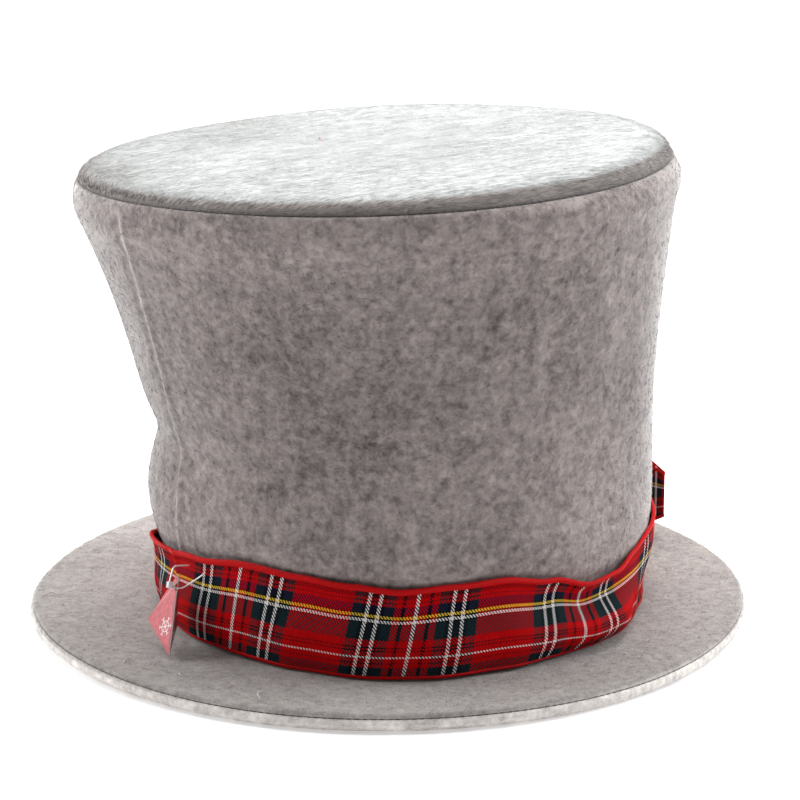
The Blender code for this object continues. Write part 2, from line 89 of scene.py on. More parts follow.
class Finish:
    """A material being made: its shader, and the nodes that feed it."""

    def __init__(self, name, **sockets):
        self.material = bpy.data.materials.new(name)
        self.material.use_nodes = True
        self.tree = self.material.node_tree
        self.shader = self.tree.nodes["Principled BSDF"]
        for socket, value in sockets.items():
            self.shader.inputs[socket.replace("_", " ")].default_value = value

    def node(self, kind, feeds, **settings):
        """A node of a kind, with its settings, and its inputs fed by sockets or set to values."""
        made = self.tree.nodes.new("ShaderNode" + kind)
        for setting, value in settings.items():
            setattr(made, setting, value)
        for socket, value in feeds.items():
            if isinstance(value, bpy.types.NodeSocket):
                self.tree.links.new(value, made.inputs[socket])
            else:
                made.inputs[socket].default_value = value
        return made

    def sum(self, operation, a, b=0.0, c=0.0):
        """One step of arithmetic on up to three values."""
        return self.node("Math", {0: a, 1: b, 2: c}, operation=operation).outputs[0]

    def place(self, kind="Object", **moves):
        """The point being coloured: in the object, or on its UV map, moved and turned as a mapping."""
        at = self.node("TexCoord", {}).outputs[kind]
        return self.node("Mapping", {"Vector": at, **moves}).outputs[0] if moves else at

    def parts(self, vector):
        return self.node("SeparateXYZ", {0: vector}).outputs

    def noise(self, at, scale, detail=2.0, roughness=0.5):
        feeds = {"Vector": at, "Scale": scale, "Detail": detail, "Roughness": roughness}
        return self.node("TexNoise", feeds).outputs["Fac"]

    def ramp(self, value, stops, sharp=False):
        """Colours along a value: stops are (place, colour)."""
        made = self.node("ValToRGB", {0: value})
        made.color_ramp.interpolation = "CONSTANT" if sharp else "LINEAR"
        elements = made.color_ramp.elements
        elements[0].position, elements[0].color = stops[0][0], (*stops[0][1], 1.0)
        elements[1].position, elements[1].color = stops[-1][0], (*stops[-1][1], 1.0)
        for at, colour in stops[1:-1]:
            elements.new(at).color = (*colour, 1.0)
        return made.outputs["Color"]

    def mottled(self, at, scale, dark, light, detail=2.0, ends=(0.3, 0.7)):
        """Two colours in patches: noise below the first end is dark, and above the second light."""
        return self.ramp(self.noise(at, scale, detail), [(ends[0], dark), (ends[1], light)])

    def mix(self, share, a, b, blend="MIX"):
        """Two colours mixed, each one a socket or plain red, green and blue."""
        feeds = {1: a, 2: b}
        for socket, value in feeds.items():
            feeds[socket] = value if isinstance(value, bpy.types.NodeSocket) else (*value, 1.0)
        return self.node("MixRGB", {0: share, **feeds}, blend_type=blend).outputs[0]

    def colour(self, value):
        self.tree.links.new(value, self.shader.inputs["Base Color"])

    def relief(self, height, depth, strength=1.0):
        feeds = {"Height": height, "Distance": depth, "Strength": strength}
        made = self.node("Bump", feeds).outputs[0]
        self.tree.links.new(made, self.shader.inputs["Normal"])


def paint(red, green, blue):
    """A colour as a screen shows it, from 0 to 255, as the shader counts it."""
    share = np.array((red, green, blue)) / 255.0
    linear = np.where(share <= 0.04045, share / 12.92, ((share + 0.055) / 1.055) ** 2.4)
    return tuple(float(part) for part in linear)


def stacked(shape, u, v):
    """The points of a shape as one array, whose last axis is x, y and z."""
    return np.stack(np.broadcast_arrays(*shape(u, v)), -1)


def surface(name, shape, columns, rows, finish, cut=(1.0, 1.0), wall=0.0, grow=-1.0):
    """A piece as one grid. shape(u, v) gives x, y and z for u along it and v across it, each from
    0 to 1. Its UV map counts cut's metres along and across, edges that meet are welded, and wall
    thickens it: grow is -1 inwards, 0 to both sides and 1 outwards."""
    u, v = np.meshgrid(np.linspace(0.0, 1.0, columns + 1), np.linspace(0.0, 1.0, rows + 1))
    points = stacked(shape, u, v).reshape(-1, 3)
    first = (np.arange(columns) + (columns + 1) * np.arange(rows)[:, None]).reshape(-1, 1)
    corners = (first + np.array((0, 1, columns + 2, columns + 1))).reshape(-1)
    mesh = bpy.data.meshes.new(name)
    mesh.from_pydata(points.tolist(), [], corners.reshape(-1, 4).tolist())
    flat = np.stack((u * cut[0], v * cut[1]), -1).reshape(-1, 2)
    mesh.uv_layers.new(name="cut").data.foreach_set("uv", flat[corners].ravel().astype(np.float32))
    return finished(name, mesh, finish, wall, grow)


def finished(name, mesh, finish, wall=0.0, grow=-1.0):
    """The piece of a mesh: its meeting edges welded, smooth, in its finish and as thick as its wall."""
    work = bmesh.new()
    work.from_mesh(mesh)
    bmesh.ops.remove_doubles(work, verts=work.verts, dist=2e-6)
    work.to_mesh(mesh)
    work.free()
    mesh.shade_smooth()
    mesh.materials.append(finish.material)
    piece = bpy.data.objects.new(name, mesh)
    bpy.context.scene.collection.objects.link(piece)
    if wall:
        solid = piece.modifiers.new("wall", "SOLIDIFY")
        solid.thickness = wall
        solid.offset = grow
    return piece


card = Finish("white_card", Roughness=0.9, Emission_Color=(1.0, 1.0, 1.0, 1.0), Emission_Strength=0.30)
card.colour(card.mottled(card.place(), 3.0, (0.80, 0.80, 0.80), (0.82, 0.82, 0.82)))


def card_sheet(u, v):
    """A flat square, just below the hat's lowest face."""
    return (2 * u - 1) * CARD_HALF, (2 * v - 1) * CARD_HALF, 0 * u - CARD_DROP


floor = surface("floor", card_sheet, 8, 8, card)

# Brim
# Two rounds of felt over a stiffening board. The upper round rolls down over the board's edge, and
# is stitched to the lower one in a groove just under the brim's top corner.
HEAD_RADIUS = 0.0953
HEAD_OPENING = 0.0966
CROWN_SHIFT = 0.0065
BRIM_RADIUS = 0.1500
BRIM_TOP = 0.0067
FELT = 0.0020
BOARD = (0.0019, 0.0044)
BRIM_UNDER = 0.0016
CORNER = 0.0030
BRIM_GROOVE = 0.0050
GROOVE_SHARE = 0.295
FELT_DARK = paint(92, 84, 83)
FELT_LIGHT = paint(180, 169, 166)


def bell(value, middle, spread):
    """A smooth hump, 1 at its middle and near 0 two spreads away."""
    return np.exp(-(((value - middle) / spread) ** 2))


def turned(angle, middle):
    """How far an angle is from a middle given in degrees, in degrees, the short way round."""
    return (np.degrees(angle) - middle + 180.0) % 360.0 - 180.0


def felt(name, dark, light, squeeze=(1.0, 1.0, 1.0), heading=0.0, tuft=330.0, shine=0.8,
         tilt=(0.0, 0.0), painted_shading=()):
    """Brushed felt: pale and dark fibres mixed in tufts a few millimetres wide, gathered in soft clouds.
    squeeze scales the pattern on each axis, so a small number draws the tufts out that way, and heading
    turns them. The (height, tint) pairs up the piece are painted light and shade, multiplied into the
    colour, and their heights slope by tilt, along X and back along Y, as the crown does."""
    finish = Finish(name, Roughness=0.95, Sheen_Weight=shine, Sheen_Roughness=0.35)
    finish.shader.inputs["Specular IOR Level"].default_value = 0.15
    level = finish.place(Rotation=(0.0, 0.0, -heading))
    drawn = finish.node("Mapping", {"Vector": level, "Scale": squeeze}).outputs[0]
    tufts = finish.noise(drawn, tuft, 2.0, 0.62)
    hairs = finish.noise(drawn, tuft * 3.4, 1.0, 0.5)
    clouds = finish.noise(finish.place(), 130.0, 2.0, 0.6)
    patches = finish.noise(finish.place(), 22.0, 1.0, 0.5)
    wool = finish.sum("MULTIPLY", tufts, 0.46)
    for share, part in ((0.10, hairs), (0.30, clouds), (0.14, patches)):
        wool = finish.sum("MULTIPLY_ADD", part, share, wool)
    cloth = finish.ramp(wool, [(0.34, dark), (0.66, light)])
    # Painted light and shade: tints by height up the piece, multiplied into the cloth's colour.
    if painted_shading:
        low, high = painted_shading[0][0], painted_shading[-1][0]
        x, y, z = finish.parts(finish.place())
        lean = finish.sum("SUBTRACT", finish.sum("MULTIPLY", y, tilt[1]), finish.sum("MULTIPLY", x, tilt[0]))
        above = finish.sum("SUBTRACT", finish.sum("ADD", z, lean), low)
        share = finish.sum("DIVIDE", above, high - low)
        tints = [((height - low) / (high - low), tint) for height, tint in painted_shading]
        cloth = finish.mix(1.0, cloth, finish.ramp(share, tints), "MULTIPLY")
    finish.colour(cloth)
    finish.relief(finish.sum("ADD", tufts, finish.sum("MULTIPLY", hairs, 0.25)), 0.0006, 0.22)
    return finish


def nap(name, shape, count, seed, finish, length, lift=0.5, lay=None, spread=0.5, width=0.00010):
    """Loose fibres on a surface, each a closed needle of three sides and a base. Its root is a random
    point of shape(u, v), and it runs along the surface at the angle lay from u, or any way where lay
    is None, give or take spread, and rises by lift times its length."""
    draw = np.random.default_rng(seed)
    u, v = draw.uniform(0.002, 0.996, (2, count))
    root = stacked(shape, u, v)
    step = 5e-4
    ahead = stacked(shape, u + step, v) - root
    aside = stacked(shape, u, v + step) - root
    out = np.cross(ahead, aside)
    out /= np.linalg.norm(out, axis=1, keepdims=True)
    ahead /= np.linalg.norm(ahead, axis=1, keepdims=True)
    if lay is None:
        way = draw.uniform(0.0, 2 * math.pi, count)[:, None]
        run = ahead * np.cos(way) + np.cross(out, ahead) * np.sin(way)
    else:
        way = lay + draw.normal(0.0, spread, count)
        flat = np.stack((np.cos(way), np.sin(way), 0 * way), -1)
        run = flat - out * (flat * out).sum(1, keepdims=True)
        run /= np.linalg.norm(run, axis=1, keepdims=True)
    reach = draw.uniform(0.4, 1.0, count)[:, None] * length
    tip = root + run * reach + out * reach * lift * draw.uniform(0.2, 1.0, count)[:, None]
    side = np.cross(out, run)
    sunk = root - out * 1e-4
    corners = [sunk + side * width, sunk - side * width, root + out * width, tip]
    points = np.stack(corners, 1).reshape(-1, 3)
    faces = np.array(((0, 1, 2), (0, 2, 3), (2, 1, 3), (1, 0, 3)))
    faces = (faces[None] + 4 * np.arange(count)[:, None, None]).reshape(-1, 3)
    mesh = bpy.data.meshes.new(name)
    mesh.from_pydata(points.tolist(), [], faces.tolist())
    mesh.materials.append(finish.material)
    mesh.shade_smooth()
    piece = bpy.data.objects.new(name, mesh)
    piece.visible_shadow = False
    bpy.context.scene.collection.objects.link(piece)
    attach(piece, "root")
    return piece


def brim_wave(radius, angle):
    """How far the brim lifts off the table: nothing at the head, up to 1.2 mm in slow waves at the edge."""
    reach = np.clip((radius - 0.105) / (BRIM_RADIUS - 0.105), 0.0, 1.0) ** 1.5
    wave = 0.45 + 0.35 * np.sin(2 * angle + 0.6) + 0.20 * np.sin(5 * angle + 2.0)
    return reach * 0.0012 * wave


def brim_round(course):
    """A brim layer turned round the hat: course(v) gives radius and height, and the head opening is
    pulled sideways under the crown."""

    def shape(u, v):
        radius, height = course(v)
        angle = 2 * math.pi * u
        uneven = 0.002 * np.sin(3 * angle + 1.0) - 0.006 - 0.018 * bell(turned(angle, 152.0), 0.0, 26.0)
        edge = 1.0 + uneven * bell(radius, BRIM_RADIUS, 0.02)
        share = np.clip((BRIM_RADIUS - radius) / (BRIM_RADIUS - HEAD_OPENING), 0.0, 1.0)
        x = radius * edge * np.cos(angle) + CROWN_SHIFT * share
        return x, radius * edge * np.sin(angle), height + brim_wave(radius, angle)

    return shape


def course_through(stations, value):
    """The course through listed stations (place, radius, height), straight between them."""
    places, radii, heights = zip(*stations)
    return np.interp(value, places, radii), np.interp(value, places, heights)


def brim_top_course(v):
    """Up the rim, in at the stitched groove, over the rounded corner and across to the crown."""
    turn = np.clip((v - 0.30) / 0.12, 0.0, 1.0) * math.pi / 2
    radius, height = course_through([
        (0.0, BRIM_RADIUS - 0.0002, 0.0012), (0.10, BRIM_RADIUS + 0.0004, 0.0026),
        (0.20, BRIM_RADIUS + 0.0002, 0.0042), (0.30, BRIM_RADIUS - 0.0004, BRIM_GROOVE),
        (0.42, BRIM_RADIUS - CORNER, BRIM_TOP), (1.0, HEAD_OPENING, BRIM_TOP),
    ], v)
    on_corner = (v > 0.30) & (v < 0.42)
    corner_radius = BRIM_RADIUS - CORNER + 0.0026 * np.cos(turn)
    corner_height = BRIM_GROOVE + (BRIM_TOP - BRIM_GROOVE) * np.sin(turn)
    radius = np.where(on_corner, corner_radius, radius) - 0.0006 * bell(v, GROOVE_SHARE, 0.022)
    return radius, np.where(on_corner, corner_height, height)


def flat_course(outer, low, high):
    """Once round the section of a flat ring: up its rim, in across the top, down and out again."""
    corners = [
        (0.0, outer, low), (0.08, outer + 0.0003, (low + high) / 2), (0.16, outer, high),
        (0.50, HEAD_OPENING, high), (0.60, HEAD_OPENING, low), (1.0, outer, low),
    ]
    return lambda v: course_through(corners, v)


# The brim's felt is a much lighter copy of the crown's felt: full strength on the rim as painted light, and
# tinted down to about four tenths over the top as painted shade.
brim_felt = felt("brim_felt", paint(184, 177, 173), paint(254, 249, 245), shine=0.9,
                 painted_shading=[(0.0046, (1.0, 1.0, 1.0)), (0.0064, (0.405, 0.396, 0.392))])
board_finish = Finish("stiffening_board", Roughness=0.8)
board_finish.colour(board_finish.mottled(
    board_finish.place(Scale=(1.0, 6.0, 1.0)), 300.0, (0.32, 0.30, 0.27), (0.46, 0.44, 0.40)
))
ROUND = 2 * math.pi * BRIM_RADIUS
brim_top_shape = brim_round(brim_top_course)
brim_under_shape = brim_round(flat_course(BRIM_RADIUS - 0.0014, 0.0, BRIM_UNDER))
board_shape = brim_round(flat_course(BRIM_RADIUS - 0.0026, *BOARD))
brim_top = surface("brim_upper_felt", brim_top_shape, 420, 60, brim_felt, (ROUND, 0.062), FELT * 0.9)
brim_under = surface("brim_lower_felt", brim_under_shape, 360, 48, brim_felt, (ROUND, 0.12))
brim_board = surface("brim_stiffener", board_shape, 240, 12, board_finish, (ROUND, 0.11))
for piece, node, skin in (
    (brim_top, "brim_top_felt", "felt"),
    (brim_under, "brim_under_felt", "felt"),
    (brim_board, "brim_board", "board"),
):
    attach(piece, "root")
    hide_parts(node)
nap("brim_nap", brim_top_shape, 20000, 11, brim_felt, 0.0024, 0.22, width=0.00007)


def strand(path, radius, taper=None):
    """A round strand along a closed or open path of points: each ring lies square to the path, and
    taper gives the share of the radius at each point."""

    def shape(u, v):
        at = np.clip(u * (len(path) - 1), 0, len(path) - 1)
        low = np.minimum(at.astype(int), len(path) - 2)
        share = (at - low)[..., None]
        middle = path[low] * (1 - share) + path[low + 1] * share
        ahead = np.gradient(path, axis=0)
        if np.allclose(path[0], path[-1]):
            ahead[0] = ahead[-1] = path[1] - path[-2]
        ahead = ahead[low] * (1 - share) + ahead[low + 1] * share
        ahead /= np.linalg.norm(ahead, axis=-1, keepdims=True)
        across = np.cross(ahead, np.array((0.137, 0.211, 0.967)))
        across /= np.linalg.norm(across, axis=-1, keepdims=True)
        up = np.cross(across, ahead)
        thick = radius if taper is None else radius * np.interp(u, np.linspace(0, 1, len(taper)), taper)
        turn = 2 * math.pi * v
        point = middle + across * (thick * np.cos(turn))[..., None] - up * (thick * np.sin(turn))[..., None]
        return point[..., 0], point[..., 1], point[..., 2]

    return shape


PLY_TWIST = 9000.0


def thread(name, colour, roughness=0.8):
    """Spun sewing thread: two plies twisted round each other show as slanting stripes, at PLY_TWIST
    radians a metre."""
    finish = Finish(name, Roughness=roughness, Sheen_Weight=0.2)
    at = finish.parts(finish.place("UV"))
    slant = finish.sum("ADD", at[0], at[1])
    twist = finish.sum("SINE", finish.sum("MULTIPLY", slant, PLY_TWIST))
    shade = finish.sum("MULTIPLY_ADD", twist, 0.5, 0.5)
    finish.colour(finish.ramp(shade, [(0.0, tuple(c * 0.55 for c in colour)), (1.0, colour)]))
    finish.relief(shade, 0.0002, 0.6)
    return finish


def seam(name, node, path, radius, finish, count):
    """A ring of stitches along a path: thick in the middle of each, and thin where it dives in."""
    share = np.linspace(0.0, 1.0, len(path))
    taper = 0.45 + 0.55 * np.abs(np.sin(math.pi * share * count))
    cut = (len(path) * 0.001, 0.002)
    piece = surface(name, strand(path, radius, taper=taper), len(path) - 1, 8, finish, cut)
    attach(piece, "root")
    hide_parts(node)
    return piece


def ring_path(shape, v, count):
    """The points round a layer at one place across it."""
    u = np.linspace(0.0, 1.0, count + 1)
    return stacked(shape, u, np.full_like(u, v))


dark_thread = thread("seam_thread", paint(96, 90, 88))
groove = ring_path(brim_top_shape, GROOVE_SHARE, 1440)
seam("brim_edge_stitching", "brim_edge_seam", groove, 0.00042, dark_thread, 300)

# Crown
# A flared tube of felt over thin foam, with black lining inside, closed by a round tip. It is soft: it
# leans, caves in at the waist on the left, sags over the ribbon and puffs out under the tip's seam.
FOAM = 0.0030
LINING = 0.0008
SATIN_WEAVE = 14000.0
LINING_TIP_RADIUS = 0.1138
LINING_TIP_Z = 0.1857
GAP = 0.0003
CROWN_RADIUS = 0.1030
CROWN_FOOT = 0.0070
TOP_SPREAD = 0.0192
TOP_SHIFT = -0.0035
MEAN_RADIUS = 0.1130
WAIST_Z = 0.0800
SHOULDER_Z = 0.1770
PUFF_Z = 0.1810
SEAM_Z = 0.1872
SEAM_RADIUS = 0.1197
PUFF = CROWN_RADIUS + TOP_SPREAD - SEAM_RADIUS + 0.0002
TILT_ACROSS = 0.0450
TILT_BACK = -0.0300
CROWN_TOP = 0.1960
TIP_ROLL = 0.0120
PILLOW = 0.0010
BRUSHED = math.radians(28.0)
# Each fold: where round the hat in degrees, its height, its half width in degrees, its half height,
# and how far it stands out.
FOLDS = (
    (182, 0.0830, 42, 0.0110, -0.0024), (190, 0.0560, 40, 0.0150, 0.0028),
    (180, 0.0300, 50, 0.0100, -0.0020), (-88, 0.0530, 55, 0.0065, 0.0013),
    (-40, 0.0500, 20, 0.0080, 0.0012), (-75, 0.0660, 16, 0.0040, -0.0006),
    (-56, 0.1220, 1.9, 0.0190, -0.0009), (-60, 0.1240, 2.4, 0.0190, 0.0007),
    (-72, 0.1030, 9, 0.0025, -0.0005), (-120, 0.0720, 12, 0.0035, 0.0006),
    (-108, 0.0600, 10, 0.0030, -0.0006), (-135, 0.0980, 8, 0.0200, -0.0007),
    (-35, 0.1400, 6, 0.0300, -0.0008), (-25, 0.0900, 10, 0.0100, 0.0008),
    (0, 0.0300, 45, 0.0120, -0.0018), (40, 0.0700, 14, 0.0120, 0.0012),
    (95, 0.0900, 20, 0.0150, -0.0013), (135, 0.0620, 16, 0.0100, 0.0014),
    (-152, 0.1640, 9, 0.0100, -0.0008), (20, 0.1660, 22, 0.0060, -0.0007),
    (176, 0.1720, 16, 0.0070, 0.0009), (-20, 0.1800, 26, 0.0050, 0.0016),
    (195, 0.1800, 22, 0.0050, 0.0006), (70, 0.1300, 6, 0.0250, -0.0008),
    (185, 0.1350, 38, 0.0360, -0.0016),
)


def slump(z):
    """How far up the flare a height is: 0 up to the waist, 1 at the shoulder, a little more above."""
    return np.maximum(0.0, (z - WAIST_Z) / (SHOULDER_Z - WAIST_Z))


def leaned(x, y, z):
    """The soft crown's lean: its top moves sideways and hangs out of level."""
    share = slump(z)
    shift = CROWN_SHIFT + (TOP_SHIFT - CROWN_SHIFT) * share
    return x + shift, y, z + share * (TILT_ACROSS * x + TILT_BACK * y)


def side_seam(z):
    """Where the side's seam runs, in degrees round the hat."""
    return -149.0 + 7.0 * np.clip((z - 0.080) / 0.100, 0.0, 1.0) + 1.5 * bell(z, 0.055, 0.014)


def give(angle, z):
    """How far the felt stands out of a true cone: its folds, slow unevenness and the seam's ridge."""
    out = 0.0004 * np.sin(3 * angle + 1.0 + 20 * z) + 0.00025 * np.sin(7 * angle + 40 * z)
    for where, height, wide, tall, depth in FOLDS:
        out = out + depth * bell(turned(angle, where), 0.0, wide) * bell(z, height, tall)
    ridge = turned(angle, 0.0) - side_seam(z)
    out = out + 0.0009 * bell(ridge, 0.0, 1.3) - 0.0007 * bell(ridge, -2.6, 1.3)
    return out * np.clip((z - CROWN_FOOT) / 0.01, 0.0, 1.0) * np.clip((SEAM_Z - z) / 0.003, 0.0, 1.0)


def foot_squeeze(angle, z):
    """The ribbon draws the foot in at the left and the right."""
    return 0.0032 * np.abs(np.cos(angle)) ** 1.5 * np.clip((0.038 - z) / 0.028, 0.0, 1.0)


def seam_rise(angle):
    """The tip's seam is drawn up at the front and the left."""
    return 0.0034 * bell(turned(angle, -142.0), 0.0, 62.0)


def crown_side(inset, squeeze=1.0):
    """A layer of the crown's side, inset from its outer face: up the flare, out over the puffed
    shoulder and in to the tip's seam."""

    def shape(u, v):
        angle = 2 * math.pi * u
        turn = np.clip((v - 0.88) / 0.12, 0.0, 1.0) * math.pi / 2
        z = CROWN_FOOT + (PUFF_Z - CROWN_FOOT) * np.clip(v / 0.88, 0.0, 1.0)
        radius = CROWN_RADIUS + TOP_SPREAD * np.minimum(slump(z), 1.0) ** 1.25
        radius = np.where(v > 0.88, SEAM_RADIUS + PUFF * np.cos(turn), radius)
        z = z + (SEAM_Z + seam_rise(angle) - PUFF_Z) * np.sin(turn)
        radius = radius + give(angle, z) - squeeze * foot_squeeze(angle, z) - inset
        return leaned(radius * np.cos(angle), radius * np.sin(angle), z)

    return shape


def tip_dome(inset):
    """The round tip: it rises from its seam, rolls over in a soft edge and pillows to the middle."""

    def shape(u, v):
        angle = 2 * math.pi * u
        turn = np.clip(v / 0.25, 0.0, 1.0) * math.pi / 2
        flat = np.clip((v - 0.25) / 0.75, 0.0, 1.0)
        foot = SEAM_Z + 0.0006 + seam_rise(angle)
        edge = SEAM_RADIUS - TIP_ROLL
        radius = np.where(v < 0.25, edge + (TIP_ROLL - 0.0001) * np.cos(turn), edge * (1.0 - flat))
        rise = (CROWN_TOP - PILLOW - foot) * np.sin(turn) + PILLOW * np.sin(flat * math.pi / 2)
        soft = 0.0006 * np.sin(2 * angle + 0.5) * np.sin(math.pi * flat)
        soft = soft + 0.0004 * np.sin(5 * angle) * np.sin(math.pi * np.clip(v / 0.6, 0.0, 1.0)) ** 2
        radius = np.maximum(radius - inset * np.cos(turn), 0.0)
        height = foot + rise + soft - inset * np.sin(turn)
        return leaned(radius * np.cos(angle), radius * np.sin(angle), height)

    return shape


# The crown's felt is tinted darker up its side, to 0.68 at mid height, and less at the foot and under the
# tip: painted shade, darkest where the side gets least light.
side_felt = felt("crown_felt", FELT_DARK, FELT_LIGHT, tilt=(0.043, 0.029), painted_shading=[
    (0.025, (1.0, 1.0, 1.0)), (0.065, (0.86, 0.86, 0.86)), (0.115, (0.68, 0.68, 0.68)),
    (0.160, (0.73, 0.73, 0.73)), (0.188, (0.90, 0.90, 0.90)),
])
# The tip's felt is a lighter copy of the crown's felt: painted light for the bright light grazing its top.
# Its rolled edge by the seam is tinted down to about four tenths, in taupe: painted shade where the roll
# faces forward.
tip_felt = felt(
    "tip_felt", paint(142, 144, 143), paint(206, 208, 207), (0.10, 1.0, 1.0), BRUSHED, 620.0, 0.4,
    (0.043, 0.035), [(0.1932, (0.42, 0.365, 0.352)), (0.1944, (0.80, 0.80, 0.80)), (0.1958, (1.0, 1.0, 1.0))]
)
GIRTH = 2 * math.pi * MEAN_RADIUS
SIDE_LENGTH = 0.186
crown = surface("crown_side", crown_side(0.0), 480, 92, side_felt, (GIRTH, SIDE_LENGTH), FELT)
tip = surface("crown_tip", tip_dome(0.0), 300, 70, tip_felt, (GIRTH, 0.128), FELT)
foam_finish = Finish("foam_sheet", Roughness=0.9)
foam_finish.colour(foam_finish.mottled(
    foam_finish.place(), 1500.0, (0.55, 0.53, 0.46), (0.78, 0.77, 0.72), 1.0, (0.35, 0.6)
))
side_foam = surface(
    "crown_side_padding", crown_side(FELT + GAP, 0.9), 300, 60, foam_finish, (GIRTH, SIDE_LENGTH), FOAM * 0.75
)


def lining_finish():
    """Thin black satin: fine threads both ways, and a soft gloss."""
    finish = Finish("lining_satin", Roughness=0.42, Sheen_Weight=0.2)
    at = finish.parts(finish.place("UV"))
    warp, weft = (finish.sum("SINE", finish.sum("MULTIPLY", at[way], SATIN_WEAVE)) for way in (0, 1))
    black, sheen = (0.012, 0.012, 0.014), (0.030, 0.030, 0.034)
    finish.colour(finish.mottled(finish.place(), 60.0, black, sheen, ends=(0.35, 0.65)))
    finish.relief(finish.sum("MULTIPLY", warp, weft), 0.0001, 0.4)
    return finish


satin = lining_finish()


def lining_side(u, v):
    """The lining hangs a little loose: soft upright wrinkles stand in from the wall."""
    angle = 2 * math.pi * u
    loose = 0.0004 * (1 + np.sin(26 * angle + 3 * np.sin(3 * angle))) * np.sin(math.pi * np.clip(v, 0, 1))
    x, y, z = crown_side(FELT + FOAM + 2 * GAP, 0.0)(u, v * 0.985)
    return x - loose * np.cos(angle), y - loose * np.sin(angle), z


def lining_tip(u, v):
    """The round of lining under the tip, slack towards its middle."""
    angle = 2 * math.pi * u
    radius = LINING_TIP_RADIUS * (1.0 - v)
    sag = 0.0011 * np.sin(math.pi * v) * (0.6 + 0.4 * np.sin(9 * angle) * (1 - v))
    return leaned(radius * np.cos(angle), radius * np.sin(angle), LINING_TIP_Z - sag + 0 * u)


side_lining = surface("crown_side_satin", lining_side, 420, 60, satin, (GIRTH, SIDE_LENGTH), LINING)
tip_lining = surface("crown_tip_satin", lining_tip, 240, 30, satin, (GIRTH, 0.114), LINING)
for piece, node, skin, flat, area in (
    (crown, "crown_side_felt", "felt", (0.196, 0.770), 0.135),
    (tip, "crown_tip_felt", "felt", (0.258, 0.258), 0.0515),
    (side_foam, "crown_side_foam", "foam", (0.190, 0.750), 0.130),
    (side_lining, "crown_side_lining", "lining", (0.190, 0.730), 0.127),
    (tip_lining, "crown_tip_lining", "lining", (0.232, 0.232), 0.042),
):
    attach(piece, "root")
    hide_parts(node)
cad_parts["crown_tip_foam"].data.materials[0] = foam_finish.material
nap("crown_nap", crown_side(0.0), 32000, 12, side_felt, 0.0024, 0.30, width=0.00007)
nap("tip_nap", tip_dome(0.0), 45000, 13, tip_felt, 0.0075, 0.04, BRUSHED, 0.10, 0.00008)
tip_path = ring_path(tip_dome(0.0), 0.0, 1200)
tip_path[:, 2] -= 0.0001
seam("crown_tip_stitching", "crown_tip_seam", tip_path, 0.00045, dark_thread, 250)
foot_path = ring_path(crown_side(-0.0006), 0.006, 1200)
seam("crown_foot_stitching", "crown_foot_seam", foot_path, 0.0004, dark_thread, 210)

# Sweatband and care label
# A ribbed tape is sewn round the inside of the opening, where it meets the head. The blank label is
# sewn in at the back above it.
SWEATBAND_FOOT = 0.0008
SWEATBAND_HEIGHT = 0.0280


def ribbed_tape():
    """Black grosgrain: round ribs across the tape, each 0.9 mm wide."""
    finish = Finish("sweatband_grosgrain", Roughness=0.6, Sheen_Weight=0.3)
    at = finish.parts(finish.place("UV"))
    rib = finish.sum("ABSOLUTE", finish.sum("SINE", finish.sum("MULTIPLY", at[0], math.pi / 0.0009)))
    finish.colour(finish.ramp(rib, [(0.0, (0.006, 0.006, 0.007)), (1.0, (0.040, 0.040, 0.043))]))
    finish.relief(rib, 0.0003, 0.8)
    return finish


def sweatband_shape(u, v):
    angle = 2 * math.pi * (1 - u)
    radius = HEAD_RADIUS + 0.0002 * np.sin(11 * angle) * v
    return radius * np.cos(angle) + CROWN_SHIFT, radius * np.sin(angle), SWEATBAND_FOOT + SWEATBAND_HEIGHT * v


HEAD_GIRTH = 2 * math.pi * HEAD_RADIUS
tape_cut = (HEAD_GIRTH, SWEATBAND_HEIGHT)
sweatband = surface("sweatband_tape", sweatband_shape, 300, 12, ribbed_tape(), tape_cut, 0.0010)
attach(sweatband, "root")
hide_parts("sweatband")
label_finish = Finish("label_tape", Roughness=0.5)
weave = label_finish.noise(label_finish.place(Scale=(9.0, 1.0, 1.0)), 900.0, 1.0)
label_finish.colour(label_finish.ramp(weave, [(0.35, (0.62, 0.62, 0.60)), (0.65, (0.86, 0.86, 0.84))]))
label_finish.relief(weave, 0.0001, 0.5)
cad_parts["care_label"].data.materials[0] = label_finish.material

# Ribbon band
# One length of woven tartan ribbon, 38 mm wide, stands round the foot of the crown. Each edge is folded
# over a fine copper wire and closely stitched in red, and the ribbon's ends meet behind, under the bow.
RIBBON_WIDTH = 0.0380
RIBBON = 0.0006
TOP_HEM = 0.0024
FOOT_HEM = 0.0013
BAND_FOOT = 0.0076
RIBBON_LENGTH = 2 * math.pi * 0.1075
BAND_ENDS = 60.0
